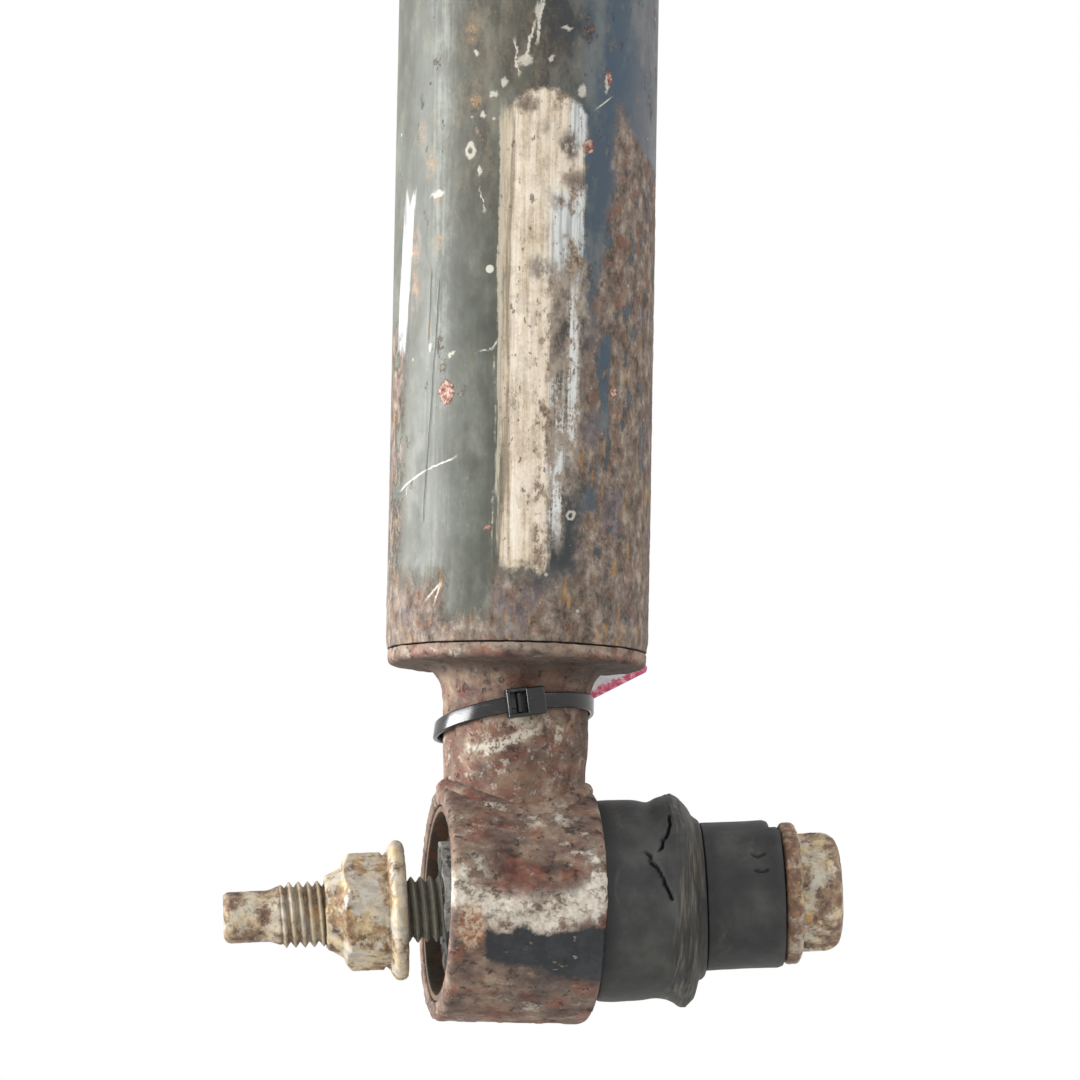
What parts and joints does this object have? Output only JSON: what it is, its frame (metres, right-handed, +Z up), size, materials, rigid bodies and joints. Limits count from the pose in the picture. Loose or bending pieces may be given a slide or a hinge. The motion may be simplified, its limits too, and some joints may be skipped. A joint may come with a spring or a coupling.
{
  "type": "strut assembly",
  "caption": "Telescopic suspension strut: tube, sliding rod under a dust cover, rubber top mount, and a lower eye whose rubber bush carries a through bolt and flange nut.",
  "frame": {"origin": "centre of the lower eye, on the damper axis", "axes": "+Z up the damper axis towards the top mount, +X along the eye towards the bolt head, -Y is the face that shows the cable tie's lock"},
  "size_m": [0.1324, 0.112, 0.5768],
  "materials": {
    "tube_paint": "worn satin paint with rust and a scraped patch",
    "rusty_steel": "pitted rust with pale deposits",
    "plain_steel": "machined",
    "hard_chrome": "polished",
    "aged_zinc": "yellow zinc gone white and rusty",
    "black_rubber": "dusty, cracked",
    "black_nylon": "glossy",
    "tag_film": "plain film with a pink-red edge",
    "bronze": "coated bronze",
    "sintered_iron": "oily sintered iron",
    "foam": "microcellular foam",
    "cover_plastic": "moulded, dusty",
    "black_coating": "satin dip coat"
  },
  "bodies": {
    "damper": {"outer_tube": "tube_paint", "base_forging": "rusty_steel", "eye_ring": "rusty_steel", "eye_weld": "rusty_steel", "bush_outer_sleeve": "plain_steel", "bush_rubber_core": "black_rubber", "pressure_tube": "plain_steel", "base_valve_body": "sintered_iron", "base_valve_discs": "plain_steel", "base_valve_pin": "plain_steel", "base_check_spring": "plain_steel", "rod_guide": "sintered_iron", "rod_guide_bush": "bronze", "rod_seal": "black_rubber", "seal_retainer": "plain_steel", "bump_cap": "black_coating"},
    "base_check": {"base_check_plate": "plain_steel"},
    "piston_ring": {"piston_band": "bronze"},
    "rod": {"piston_rod": "hard_chrome", "piston": "sintered_iron", "rebound_shims": "plain_steel", "piston_nut": "plain_steel", "piston_check_spring": "plain_steel", "rebound_stop": "plain_steel", "rebound_bumper": "black_rubber", "bump_stop": "foam", "dust_cover": "cover_plastic", "lower_washer": "plain_steel", "mount_inner_sleeve": "plain_steel", "top_washer": "aged_zinc", "top_nut": "aged_zinc"},
    "piston_check": {"piston_check_plate": "plain_steel"},
    "mount": {"mount_plate": "black_coating", "mount_can": "black_coating", "mount_rubber": "black_rubber", "mount_stud_1": "aged_zinc", "mount_stud_2": "aged_zinc", "mount_stud_3": "aged_zinc"},
    "bush_collar": {"bush_rubber_collar": "black_rubber"},
    "bush_inner": {"bush_inner_sleeve": "plain_steel", "bush_end_boot": "black_rubber"},
    "bolt": {"pivot_bolt": "aged_zinc"},
    "nut": {"flange_nut": "aged_zinc"},
    "tie": {"cable_tie": "black_nylon"},
    "tag": {"hang_tag": "tag_film"}
  },
  "joints": [
    {"name": "rod_slide", "type": "slide", "parent": "damper", "child": "piston_ring", "axis": [0, 0, 1], "range_m": [-0.1, 0], "stiffness_N_per_m": 200, "springref_m": 0.6},
    {"name": "rod_spin", "type": "hinge", "parent": "piston_ring", "child": "rod", "pos_m": [0, 0, 0.2], "axis": [0, 0, 1], "continuous": true},
    {"name": "piston_check_lift", "type": "slide", "parent": "rod", "child": "piston_check", "axis": [0, 0, 1], "range_m": [0, 0.0012], "stiffness_N_per_m": 1500, "springref_m": -0.003, "deforming": ["piston_check_spring"]},
    {"name": "base_check_lift", "type": "slide", "parent": "damper", "child": "base_check", "axis": [0, 0, 1], "range_m": [0, 0.0015], "stiffness_N_per_m": 1500, "springref_m": -0.003, "deforming": ["base_check_spring"]},
    {"name": "mount_swing", "type": "hinge", "parent": "rod", "child": "mount", "pos_m": [0, 0, 0.512], "axis": [1, 0, 0], "range_deg": [-4, 4], "stiffness_Nm_per_rad": 120, "deforming": ["mount_rubber"]},
    {"name": "bush_tilt", "type": "hinge", "parent": "damper", "child": "bush_collar", "pos_m": [0, 0, 0], "axis": [0, -0.496, -0.8683], "range_deg": [-9, 1.5], "stiffness_Nm_per_rad": 90, "deforming": ["bush_rubber_core", "bush_rubber_collar"]},
    {"name": "bush_twist", "type": "hinge", "parent": "bush_collar", "child": "bush_inner", "pos_m": [0, 0, 0], "axis": [0.9915, -0.113, 0.0645], "range_deg": [-20, 20], "stiffness_Nm_per_rad": 60, "deforming": ["bush_rubber_core"]},
    {"name": "bolt_turn", "type": "hinge", "parent": "bush_inner", "child": "bolt", "pos_m": [0, 0, 0], "axis": [-0.9915, 0.113, -0.0645], "range_deg": [-720, 1330]},
    {"name": "nut_travel", "type": "slide", "parent": "bush_inner", "child": "nut", "axis": [0.9915, -0.113, 0.0645], "range_m": [-0.0041, 0.0074]},
    {"name": "tie_swivel", "type": "hinge", "parent": "damper", "child": "tie", "pos_m": [0, 0, 0.04], "axis": [0, 0, 1], "continuous": true},
    {"name": "tag_flap", "type": "hinge", "parent": "tie", "child": "tag", "pos_m": [0, 0.0175, 0.0368], "axis": [-1, 0, 0], "range_deg": [0, 50]}
  ],
  "couplings": [
    {"joint": "nut_travel", "follows": "bolt_turn", "m_per_rad": 0.00031831}
  ]
}
